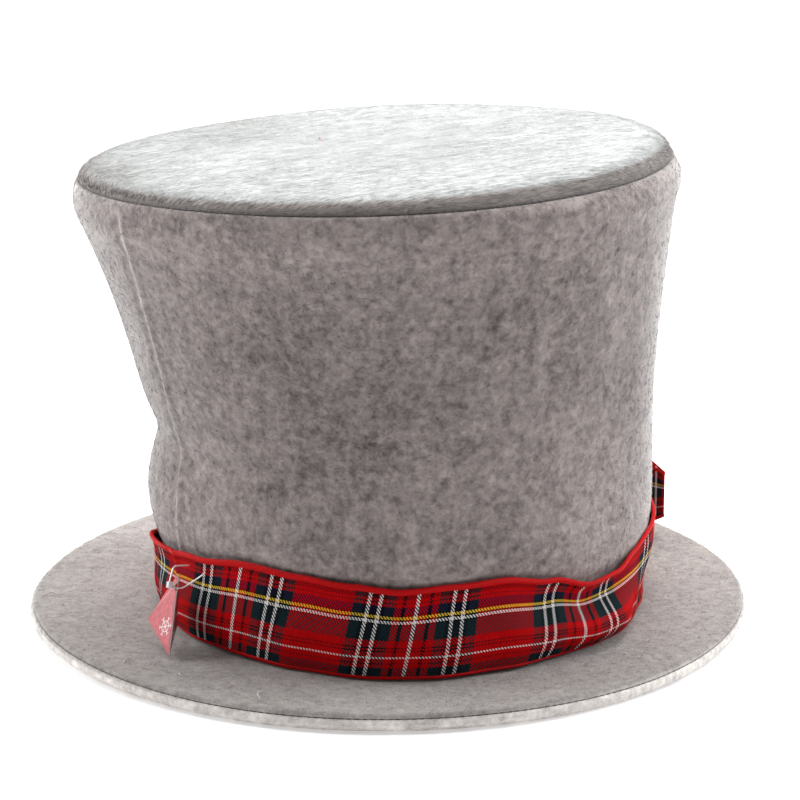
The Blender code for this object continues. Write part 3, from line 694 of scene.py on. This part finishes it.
# Each station: where round the hat in degrees, the top edge's height, how far it stands off the crown,
# the foot's distance from the crown's axis, and how far the middle is pushed out as a fold.
STATIONS = (
    (-180, 0.0340, 0.0012, 0.1006, 0.000), (-165, 0.0390, 0.0030, 0.1012, 0.001),
    (-153, 0.0410, 0.0040, 0.1034, 0.002), (-140, 0.0440, 0.0040, 0.1060, 0.001),
    (-125, 0.0470, 0.0022, 0.1070, 0.000), (-112, 0.0455, 0.0020, 0.1080, 0.001),
    (-101, 0.0438, 0.0020, 0.1105, 0.001), (-90, 0.0418, 0.0024, 0.1120, 0.000),
    (-79, 0.0430, 0.0020, 0.1110, 0.001), (-68, 0.0440, 0.0018, 0.1085, 0.001),
    (-56, 0.0405, 0.0030, 0.1060, 0.003), (-45, 0.0350, 0.0050, 0.1050, 0.005),
    (-36, 0.0352, 0.0040, 0.1040, 0.005), (-25, 0.0380, 0.0016, 0.1024, 0.001),
    (-12, 0.0407, 0.0012, 0.1003, -0.001), (10, 0.0440, 0.0014, 0.1003, -0.001),
    (40, 0.0450, 0.0024, 0.1055, 0.000), (60, 0.0456, 0.0028, 0.1082, 0.000),
    (100, 0.0456, 0.0026, 0.1080, 0.001), (140, 0.0440, 0.0024, 0.1060, 0.001),
    (165, 0.0420, 0.0030, 0.1030, 0.000), (180, 0.0340, 0.0012, 0.1006, 0.000),
)
WHITE = paint(226, 224, 222)
RED = paint(188, 3, 8)
DEEP = paint(88, 4, 10)
BLACK = paint(12, 9, 15)
GREEN = paint(20, 38, 43)
NAVY = paint(16, 12, 44)
YELLOW = paint(238, 200, 52)
REPEAT = 0.0750
# The thread colours along the ribbon and across it from its lower edge, each (start in mm, colour).
ALONG = (
    (0.0, RED), (12.5, GREEN), (16.3, BLACK), (17.8, WHITE), (19.3, BLACK), (22.0, WHITE), (23.5, BLACK),
    (25.0, GREEN), (29.0, RED), (31.5, BLACK), (33.0, RED), (36.8, WHITE), (38.2, RED), (42.0, BLACK),
    (43.5, RED), (46.0, GREEN), (50.0, BLACK), (51.5, WHITE), (53.0, BLACK), (55.7, WHITE), (57.2, BLACK),
    (58.7, GREEN), (62.5, RED),
)
ACROSS = (
    (0.0, RED), (0.8, GREEN), (4.8, RED), (6.4, BLACK), (6.9, RED), (8.9, WHITE), (9.6, RED),
    (11.6, BLACK), (12.2, RED), (13.0, BLACK), (13.6, RED), (16.4, GREEN), (23.0, BLACK), (23.5, WHITE),
    (24.7, BLACK), (25.4, YELLOW), (26.7, BLACK), (27.6, NAVY), (30.6, RED), (32.0, BLACK), (32.5, RED),
    # DEEP, from 33.8 mm up to the top edge, makes the ribbon darker just under its upper hem.
    (33.8, DEEP),
)
TWILL = 0.00175
TWILL_STEEPNESS = 1.4


def tartan(name, start, skew=0.0):
    """Woven tartan on the UV map, in metres. Threads of one set of stripes run along the ribbon and of
    the other across it, and a slanting twill line decides which of the two is on top. skew leans the
    stripes that run across, where the ribbon is pulled out of square."""
    finish = Finish(name, Roughness=0.8)
    finish.shader.inputs["Specular IOR Level"].default_value = 0.06
    at = finish.parts(finish.place("UV"))
    across = finish.sum("MULTIPLY", finish.sum("SUBTRACT", at[1], RIBBON_WIDTH / 2), skew)
    place = finish.sum("DIVIDE", finish.sum("SUBTRACT", finish.sum("ADD", at[0], start), across), REPEAT)
    lengthwise = [(mm / (1000 * REPEAT), colour) for mm, colour in ALONG]
    long_way = finish.ramp(finish.sum("FRACT", place), lengthwise, True)
    width = finish.sum("DIVIDE", at[1], RIBBON_WIDTH)
    crosswise = [(mm / (1000 * RIBBON_WIDTH), colour) for mm, colour in ACROSS]
    short_way = finish.ramp(width, crosswise, True)
    slant = finish.sum("DIVIDE", finish.sum("MULTIPLY_ADD", at[0], TWILL_STEEPNESS, at[1]), TWILL)
    over = finish.sum("GREATER_THAN", finish.sum("FRACT", slant), 0.5)
    cloth = finish.mix(over, long_way, short_way)
    wear = finish.mottled(finish.place(), 900.0, (0.35, 0.35, 0.35), (1.0, 1.0, 1.0))
    finish.colour(finish.mix(0.35, cloth, wear, "MULTIPLY"))
    rib = finish.sum("ABSOLUTE", finish.sum("SINE", finish.sum("MULTIPLY", slant, math.pi)))
    finish.relief(rib, 0.00015, 0.6)
    return finish


def hem_finish():
    """Red edge: close stitches over the folded edge, 0.7 mm apart, with a satin gloss."""
    finish = Finish("hem_stitches", Roughness=0.6)
    finish.shader.inputs["Specular IOR Level"].default_value = 0.12
    at = finish.parts(finish.place("UV"))
    slant = finish.sum("MULTIPLY", finish.sum("ADD", at[0], at[1]), math.pi / 0.0007)
    stitch = finish.sum("ABSOLUTE", finish.sum("SINE", slant))
    finish.colour(finish.ramp(stitch, [(0.0, paint(140, 2, 6)), (1.0, paint(214, 10, 14))]))
    finish.relief(stitch, 0.0002, 0.7)
    return finish


def between(angle, column):
    """One column of the stations at an angle, eased smoothly from each station to the next."""
    degrees = (np.degrees(angle) + 180.0) % 360.0 - 180.0
    places = np.array([row[0] for row in STATIONS], float)
    values = np.array([row[column] for row in STATIONS])
    low = np.clip(np.searchsorted(places, degrees, side="right") - 1, 0, len(places) - 2)
    share = (degrees - places[low]) / (places[low + 1] - places[low])
    share = share * share * (3 - 2 * share)
    return values[low] * (1 - share) + values[low + 1] * share


def wall_radius(angle, z):
    """The crown's outer face near its foot."""
    return CROWN_RADIUS + give(angle, z) - foot_squeeze(angle, z)


def band(u, v):
    """The ribbon round the crown: u is round it from its ends, v up it. Between its foot and its top it
    bows out where it has slumped, and small ripples run up it."""
    angle = 2 * math.pi * u + math.radians(BAND_ENDS)
    top, stand = between(angle, 1), between(angle, 2)
    foot, fold = between(angle, 3), between(angle, 4)
    rise = 0.0008 * (1 + np.sin(5 * angle + 1.0)) / 2
    z = BAND_FOOT + rise + (top - BAND_FOOT - rise) * v
    head = wall_radius(angle, top) + stand
    radius = foot + (head - foot) * np.maximum(v, 0.0) ** 1.1
    radius = radius + fold * np.sin(2 * math.pi * v) + 0.0007 * np.sin(math.pi * v)
    ripple = np.sin(17 * angle + 2 * np.sin(4 * angle)) * (1 - v) + 0.8 * np.sin(11 * angle + 2.0) * v
    radius = radius + 0.0005 * ripple
    radius = np.maximum(radius, wall_radius(angle, z) + 0.0007)
    return radius * np.cos(angle) + CROWN_SHIFT, radius * np.sin(angle), z


RIBBON_SKEW = 0.19
# The red block's middle lies 34 mm to the left of the front, and eight repeats keep the start above 0.
FRONT_SHARE = ((-90.0 - BAND_ENDS) % 360.0) / 360.0
stripes_start = 0.0340 - FRONT_SHARE * RIBBON_LENGTH + 8 * REPEAT


def edge_strip(shape, low, high, swell):
    """A flat oval strip over one edge of a ribbon: from the share low to high across it, swelling to
    both sides."""

    def strip(u, v):
        turn = -2 * math.pi * v
        step = 1e-3
        middle = (low + high) / 2 + (high - low) / 2 * np.cos(turn)
        here = stacked(shape, u, middle)
        ahead = stacked(shape, u + step, middle) - here
        aside = stacked(shape, u, middle + step) - here
        out = np.cross(ahead, aside)
        out /= np.linalg.norm(out, axis=-1, keepdims=True)
        point = here + out * (swell * np.sin(turn))[..., None]
        return point[..., 0], point[..., 1], point[..., 2]

    return strip


hem_red = hem_finish()
copper = Finish("copper_wire", Roughness=0.35, Metallic=1.0)
copper.colour(copper.mottled(copper.place(), 400.0, (0.60, 0.27, 0.15), (0.80, 0.42, 0.25)))
band_tartan = tartan("ribbon_tartan", stripes_start, RIBBON_SKEW)
ribbon = surface("ribbon_band", band, 540, 24, band_tartan, (RIBBON_LENGTH, RIBBON_WIDTH), RIBBON, 0.0)
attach(ribbon, "root")
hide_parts("band_ribbon")
for name, node, low, high, swell in (
    ("ribbon_lower_hem", "band_lower_hem", -0.01, FOOT_HEM / RIBBON_WIDTH, 0.0006),
    ("ribbon_upper_hem", "band_upper_hem", 1 - TOP_HEM / RIBBON_WIDTH, 1.01, 0.0009),
):
    piece = surface(name, edge_strip(band, low, high, swell), 540, 12, hem_red, (RIBBON_LENGTH, 2 * TOP_HEM))
    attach(piece, "root")
    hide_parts(node)
    wire_path = ring_path(band, 0.015 if low < 0 else 0.975, 540)
    wire = surface(node.replace("hem", "copper"), strand(wire_path, 0.00025), 540, 8, copper)
    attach(wire, "root")
    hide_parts(node.replace("hem", "wire"))

# Bow
# Two loops and two tails of the same ribbon, gathered under a short wrapped knot, at the right of the
# back. The loops stand on edge beside the crown, and the tails lie on the brim with swallow ends.
BOW_ANGLE = math.radians(60.0)
BOW_HEIGHT = 0.0260
BOW_REACH = 0.1124
LOOP_CUT, LOOP_GATHERED, KNOT_CUT, KNOT_WIDTH = 0.1420, 0.0310, 0.0420, 0.0160
NECK_START, NECK_END, NECK_HEIGHT = 0.0030, 0.0105, 0.0120
LOOP_LENGTH, LOOP_BELLY, LOOP_END_HEIGHT, LOOP_DEPTH, LOOP_LEG_GAP = 0.0650, 0.0210, 0.0210, 0.0085, 0.0034
TAIL_WIDTH, TAIL_NOTCH = 0.0300, 0.0110
TAILS = (("bow_right_tail", 0.0370, 66.0, 1.0), ("bow_left_tail", 0.0420, 62.0, -1.0))
bow_out = np.array((math.cos(BOW_ANGLE), math.sin(BOW_ANGLE), 0.0))
bow_along = np.array((bow_out[1], -bow_out[0], 0.0))
bow_axes = np.stack((bow_along, bow_out, (0.0, 0.0, 1.0)))
bow_middle = np.array((CROWN_SHIFT, 0.0, BOW_HEIGHT)) + bow_out * BOW_REACH


def on_bow(x, y, z):
    """A point of the bow's own frame, X along the band and Y out of it, as a point of the hat."""
    point = bow_middle + np.stack(np.broadcast_arrays(x, y, z), -1) @ bow_axes
    return point[..., 0], point[..., 1], point[..., 2]


def bow_loop(side):
    """A loop seen from above is a slim teardrop. It is pleated at the neck and tallest at its middle."""

    def shape(u, v):
        turn = 2 * math.pi * u
        reach = NECK_START + (LOOP_LENGTH - NECK_START) * (1 - np.cos(turn)) / 2
        share = np.maximum(0.0, (reach - NECK_END) / (LOOP_LENGTH - NECK_END))
        belly = LOOP_DEPTH * np.sin(turn) * np.sin(math.pi * share**0.8)
        belly = np.where(u > 0.5, belly * 0.35, belly)
        pleat = 0.0007 * np.sin(6 * math.pi * v) * (1 - share) ** 2
        depth = belly + LOOP_LEG_GAP / 2 * np.cos(math.pi * u) + 0.0050 * share + pleat
        height = NECK_HEIGHT + LOOP_BELLY * np.sin(math.pi * share) + (LOOP_END_HEIGHT - NECK_HEIGHT) * share
        return on_bow(side * reach, depth, height * (v - 0.5))

    return shape


def bow_tail(length, heading, side):
    """A tail comes out of the knot on edge, turns down flat on the brim and ends in two points."""
    ahead = np.array((side * math.cos(math.radians(heading)), math.sin(math.radians(heading)), 0.0))
    across = np.array((side * ahead[1], -side * ahead[0], 0.0))
    rest = BRIM_TOP + 0.0010 - BOW_HEIGHT

    def shape(u, v):
        notch = TAIL_NOTCH * (1 - np.abs(2 * v - 1)) * np.maximum(0.0, u - 0.8) / 0.2
        reach = NECK_START - NECK_END + length * u - notch
        spread = np.clip(reach / 0.0200, 0.0, 1.0)
        upright = np.radians(90.0 - 86.0 * spread)
        half = (NECK_HEIGHT + (TAIL_WIDTH - NECK_HEIGHT) * spread) / 2
        rise = half * np.sin(upright)
        z = rest * spread + rise * (2 * v - 1) + rise * spread + 0.0006 * spread * (1 + np.sin(9 * u + 5 * v))
        flat = half * (2 * v - 1) * np.cos(upright)
        x = side * NECK_END + across[0] * flat + np.where(reach > 0, ahead[0] * reach, side * reach)
        y = 0.0042 + across[1] * flat + np.where(reach > 0, ahead[1] * reach, 0.0)
        return on_bow(x, y, z)

    return shape


def knot(u, v):
    """The wrapped strip: once round a rounded oblong, with three soft creases along its length."""
    turn = 2 * math.pi * u
    y = 0.0015 + 0.0053 * np.sign(np.cos(turn)) * np.abs(np.cos(turn)) ** 0.55
    z = 0.0078 * np.sign(np.sin(turn)) * np.abs(np.sin(turn)) ** 0.55
    swell = 1.0 - 0.05 * np.cos(6 * math.pi * v) - 0.04 * (2 * v - 1) ** 2
    return on_bow(KNOT_WIDTH * (v - 0.5), y * swell, z * swell)


bow_tartan = tartan("bow_tartan", 0.012)
loop_cut, loop_flat = (LOOP_CUT, RIBBON_WIDTH), (LOOP_GATHERED, LOOP_CUT)
# Each piece: its node, shape, columns, rows, length and width of ribbon, size lying flat, and how it
# is held.
bow_pieces = [
    ("bow_right_loop", bow_loop(1.0), 120, 28, loop_cut, loop_flat, "gathered"),
    ("bow_left_loop", bow_loop(-1.0), 120, 28, loop_cut, loop_flat, "gathered"),
    ("bow_knot", knot, 96, 24, (KNOT_CUT, KNOT_WIDTH), (KNOT_WIDTH, KNOT_CUT), "folded"),
]
for node, length, heading, side in TAILS:
    tail = bow_tail(length, heading, side)
    bow_pieces.append((node, tail, 72, 24, (length, RIBBON_WIDTH), (TAIL_WIDTH, length), "laid"))
for node, shape, columns, rows, cut, flat, held in bow_pieces:
    piece = surface(node + "_ribbon", shape, columns, rows, bow_tartan, cut, RIBBON, 0.0)
    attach(piece, "root")
    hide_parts(node)
    if node == "bow_knot":
        continue
    for end, low, high in (("top", 0.915, 1.0), ("foot", 0.0, 0.085)):
        strip = edge_strip(shape, low, high, 0.0006)
        edge = surface(f"{node}_{end}_hem", strip, columns, 8, hem_red, (cut[0], 0.006))
        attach(edge, "root")

# Tag and its loop
# A square of thin printed card, creased down its diagonal and hung by a hole in the crease from a clear
# nylon loop. The loop goes through the ribbon and is closed by a small moulded lock.
CARD_SIDE = 0.0240
CARD_THICKNESS = 0.0004
CARD_HOLE = 0.0017
HOLE_DROP = 0.0055
CARD_TOP = np.array((-0.0823, -0.0703, 0.0370))
CARD_LEAN = np.array((0.094, 0.532, 0.841)) / np.linalg.norm((0.094, 0.532, 0.841))
hole = CARD_TOP - CARD_LEAN * HOLE_DROP
# Each leaf: its piece, node, body, turn about the crease, and dark and light colours. The right leaf's
# colours are a darker copy of the red card: painted shade on its face turned from the light.
LEAVES = (
    ("tag_left_card", "tag_left_leaf", "tag_cover", -38.0, paint(190, 84, 92), paint(208, 100, 106)),
    ("tag_right_card", "tag_right_leaf", "tag_card", 4.0, paint(112, 78, 88), paint(132, 96, 104)),
)


def card_axes(turn):
    """The leaf's own X, Y and Z: across it, up the crease and out of its face, turned about the crease."""
    back = np.array((0.0, 1.0, 0.0))
    level = back - CARD_LEAN * back.dot(CARD_LEAN)
    level /= np.linalg.norm(level)
    other = np.cross(CARD_LEAN, level)
    across = level * math.cos(-math.radians(turn)) + other * math.sin(-math.radians(turn))
    return np.stack((across, CARD_LEAN, np.cross(across, CARD_LEAN)))


def on_card(turn, x, y, z):
    point = hole + np.stack(np.broadcast_arrays(x, y, z), -1) @ card_axes(turn)
    return point[..., 0], point[..., 1], point[..., 2]


def leaf(turn):
    """Half of the square: from the crease, round the half hole in it, out to one corner."""
    half = CARD_SIDE / math.sqrt(2.0)
    top, foot = HOLE_DROP - 0.0003, HOLE_DROP - 2 * half + 0.0003

    def shape(u, v):
        up = foot + (top - foot) * v
        start = 0.0001 + np.sqrt(np.maximum(0.0, CARD_HOLE**2 - up**2))
        out = np.minimum(u, 0.985)
        return on_card(turn, start * (1 - out) + half * out, up * (1 - out) + (HOLE_DROP - half) * out, 0 * u)

    return shape


STAR_OUT, STAR_DOWN, STAR_REACH, STAR_LINE = 0.0046, 0.0158, 0.0040, 0.00016


def printed_card(turn, dark, light):
    """Printed card, white where it is cut, with a snow star in thin white lines near its foot."""
    finish = Finish(f"printed_card_{int(turn) % 360}", Roughness=0.35, Coat_Weight=0.2)
    axes = Matrix([list(row) for row in card_axes(turn)]).transposed().to_euler()
    at = finish.node("Mapping", {
        "Vector": finish.place(), "Location": tuple(hole), "Rotation": tuple(axes),
    }, vector_type="TEXTURE").outputs[0]
    x, y, z = finish.parts(at)
    star_x, star_y = finish.sum("SUBTRACT", x, STAR_OUT), finish.sum("ADD", y, STAR_DOWN)
    squares = finish.sum("ADD", finish.sum("POWER", star_x, 2.0), finish.sum("POWER", star_y, 2.0))
    reach = finish.sum("SQRT", squares)
    angle = finish.sum("ARCTAN2", star_y, star_x)
    sixth = finish.sum("PINGPONG", angle, math.pi / 6)
    off_arm = finish.sum("MULTIPLY", reach, finish.sum("SINE", sixth))
    arm = finish.sum("LESS_THAN", off_arm, STAR_LINE)
    from_ring = finish.sum("ABSOLUTE", finish.sum("SUBTRACT", reach, 0.0022))
    ring = finish.sum("LESS_THAN", from_ring, STAR_LINE)
    bent = finish.sum("SUBTRACT", reach, finish.sum("MULTIPLY", off_arm, 1.2))
    from_barb = finish.sum("ABSOLUTE", finish.sum("SUBTRACT", bent, 0.0030))
    barb = finish.sum("LESS_THAN", from_barb, 0.00014)
    lines = finish.sum("MAXIMUM", finish.sum("MAXIMUM", arm, ring), barb)
    star = finish.sum("MULTIPLY", lines, finish.sum("LESS_THAN", reach, STAR_REACH))
    cut_face = finish.sum("LESS_THAN", finish.sum("ABSOLUTE", z), CARD_THICKNESS * 0.45)
    # The leaf's colours in soft patches; on the right leaf they are painted shade.
    mottle_and_shade = finish.mottled(finish.place(), 500.0, dark, light, ends=(0.35, 0.65))
    finish.colour(finish.mix(finish.sum("MAXIMUM", star, cut_face), mottle_and_shade, paint(244, 236, 234)))
    return finish


for name, node, body, turn, *colours in LEAVES:
    finish = printed_card(turn, *colours)
    piece = surface(name, leaf(turn), 40, 60, finish, (0.017, 0.034), CARD_THICKNESS, 0.0)
    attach(piece, body)
    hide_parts(node)

nylon = Finish("clear_nylon", Roughness=0.25, IOR=1.53, Transmission_Weight=0.35)
nylon.colour(nylon.mottled(nylon.place(), 300.0, (0.86, 0.86, 0.87), (0.95, 0.95, 0.96)))
PIERCE_ANGLE = math.radians(-139.5)
PIERCE = np.array((-0.074043, -0.06879, 0.0385))
pierce_out = np.array((math.cos(PIERCE_ANGLE), math.sin(PIERCE_ANGLE), 0.0))
pierce_along = np.array((-pierce_out[1], pierce_out[0], 0.0))
LOCK_TURN = -120.0
LOCK_HALF = 0.00143


def loop_route():
    """The loop's points: in through the ribbon, round the card's top corner, through the lock and the
    hole, and back in through the ribbon beside the first way."""
    inside = PIERCE - pierce_out * 0.0016
    card_points = [on_card(LOCK_TURN, across, up, 0.0) for across, up in (
        (0.0020, HOLE_DROP + 0.0024), (0.0032, HOLE_DROP - 0.0010), (0.0034, 0.0), (-0.0024, 0.0)
    )]
    route = [inside - pierce_along * 0.0040, PIERCE - pierce_along * 0.0052]
    route += [np.array(point, float).reshape(3) for point in card_points]
    route += [PIERCE + pierce_along * 0.0052, inside + pierce_along * 0.0040]
    return np.array(route)


def smoothed(points, steps, closed=True):
    """A curve through points: each stretch is a cubic whose ends run parallel to the neighbours' chord."""
    count = len(points)
    at = np.linspace(0.0, count if closed else count - 1, steps + 1)
    low = np.minimum(at.astype(int), count - 1 if closed else count - 2)
    share = (at - low)[:, None]
    pick = (lambda i: points[i % count]) if closed else (lambda i: points[np.clip(i, 0, count - 1)])
    before, start, end, after = pick(low - 1), pick(low), pick(low + 1), pick(low + 2)
    leave, arrive = (end - before) / 3, (after - start) / 3
    return (
        (2 * share**3 - 3 * share**2 + 1) * start + (share**3 - 2 * share**2 + share) * leave
        + (3 * share**2 - 2 * share**3) * end + (share**3 - share**2) * arrive
    )


loop = surface("tag_nylon_loop", strand(smoothed(loop_route(), 160), 0.00030), 160, 10, nylon)


def lock_block(u, v):
    """The lock: a rounded block, narrower at its ends, round the loop beside the card."""
    turn = 2 * math.pi * u
    rise = np.clip(v, 0.0, 1.0) * 2 - 1
    waist = np.where(np.abs(rise) > 0.999, 0.0, 1.0 - 0.25 * np.abs(rise) ** 6)
    x = 0.0034 + 0.0011 * np.sign(np.cos(turn)) * np.abs(np.cos(turn)) ** 0.35 * waist
    z = 0.0011 * np.sign(np.sin(turn)) * np.abs(np.sin(turn)) ** 0.35 * waist
    return on_card(LOCK_TURN, x, -LOCK_HALF * rise, z)


lock = surface("tag_lock", lock_block, 40, 16, nylon)
for piece in (loop, lock):
    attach(piece, "tag_loop")
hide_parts("tag_loop")

# Lint
# A few snips of white thread lie on the brim, and two red fibres from the ribbon on the tip.
# Each piece of lint: its name, middle, heading in degrees and length.
SNIPS = (
    ("brim_snip_left", (-0.1020, -0.0910, 0.0076), 70.0, 0.0050),
    ("brim_snip_front", (-0.0480, -0.1290, 0.0077), 95.0, 0.0070),
    ("brim_snip_edge", (-0.1400, -0.0120, 0.0080), 20.0, 0.0050),
    ("brim_snip_middle", (-0.0800, -0.1060, 0.0076), 120.0, 0.0030),
)
SPECKS = (
    ("tip_speck_left", (-0.0270, 0.0100, 0.1965), 100.0, 0.0022),
    ("tip_speck_right", (0.0980, 0.0330, 0.1985), 80.0, 0.0022),
)
CURL = np.array(((-0.5, 0.0, 0.0), (-0.15, 0.12, 0.06), (0.2, 0.10, 0.10), (0.5, -0.12, 0.02)))
for group, lint_finish, radius in (
    (SNIPS, thread("white_snips", (0.9, 0.9, 0.9)), 0.00022),
    (SPECKS, thread("red_fibres", (0.55, 0.03, 0.05)), 0.00018),
):
    for name, place, heading, length in group:
        bend = CURL * length
        turn = math.radians(heading)
        turned_bend = np.stack((
            bend[:, 0] * math.cos(turn) - bend[:, 1] * math.sin(turn),
            bend[:, 0] * math.sin(turn) + bend[:, 1] * math.cos(turn), bend[:, 2],
        ), -1)
        path = smoothed(np.array(place) + turned_bend, 24, closed=False)
        taper = [0.0] + [1.0] * 23 + [0.0]
        piece = surface(name, strand(path, radius, taper=taper), 24, 6, lint_finish, (length, 0.001))
        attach(piece, "root")
